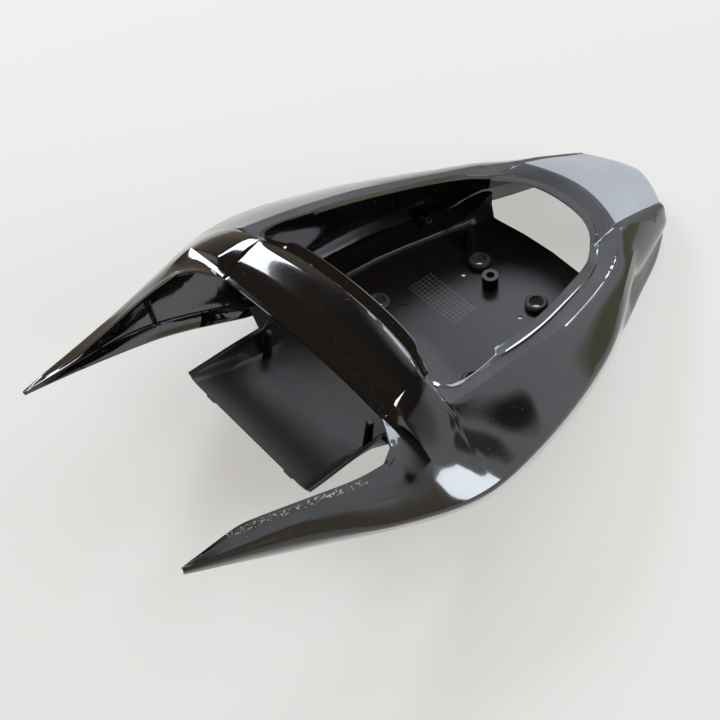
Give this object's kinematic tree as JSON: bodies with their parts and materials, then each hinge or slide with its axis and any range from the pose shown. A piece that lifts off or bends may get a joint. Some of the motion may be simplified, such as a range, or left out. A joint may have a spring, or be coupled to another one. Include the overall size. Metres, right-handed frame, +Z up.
{
  "type": "motorcycle tail fairing",
  "caption": "Gloss black motorcycle tail fairing: two long side panels joined by a cross bridge and a tail cover, over a ribbed inner tray with rubber mount collars.",
  "frame": {"origin": "on the ground, on the centre plane of the bike, half way along the length", "axes": "+X to the tail, +Y to the right side of the bike, +Z up, resting on its lower edges"},
  "size_m": [0.6908, 0.4458, 0.1702],
  "materials": {
    "panel_gloss": "gloss black paint, matte grained on the seat rim",
    "bridge_gloss": "gloss black",
    "cover_satin": "satin black",
    "tray_matte": "moulded matte black",
    "cushion_rubber": "soft black",
    "clip_plastic": "moulded black",
    "barrel_steel": "zinc plated steel"
  },
  "bodies": {
    "root": {"left_panel": "panel_gloss", "right_panel": "panel_gloss", "centre_bridge": "bridge_gloss", "rear_cover": "cover_satin", "undertray": "tray_matte", "mount_cushions": "cushion_rubber", "edge_clips": "clip_plastic", "clip_barrels": "barrel_steel"}
  },
  "joints": []
}
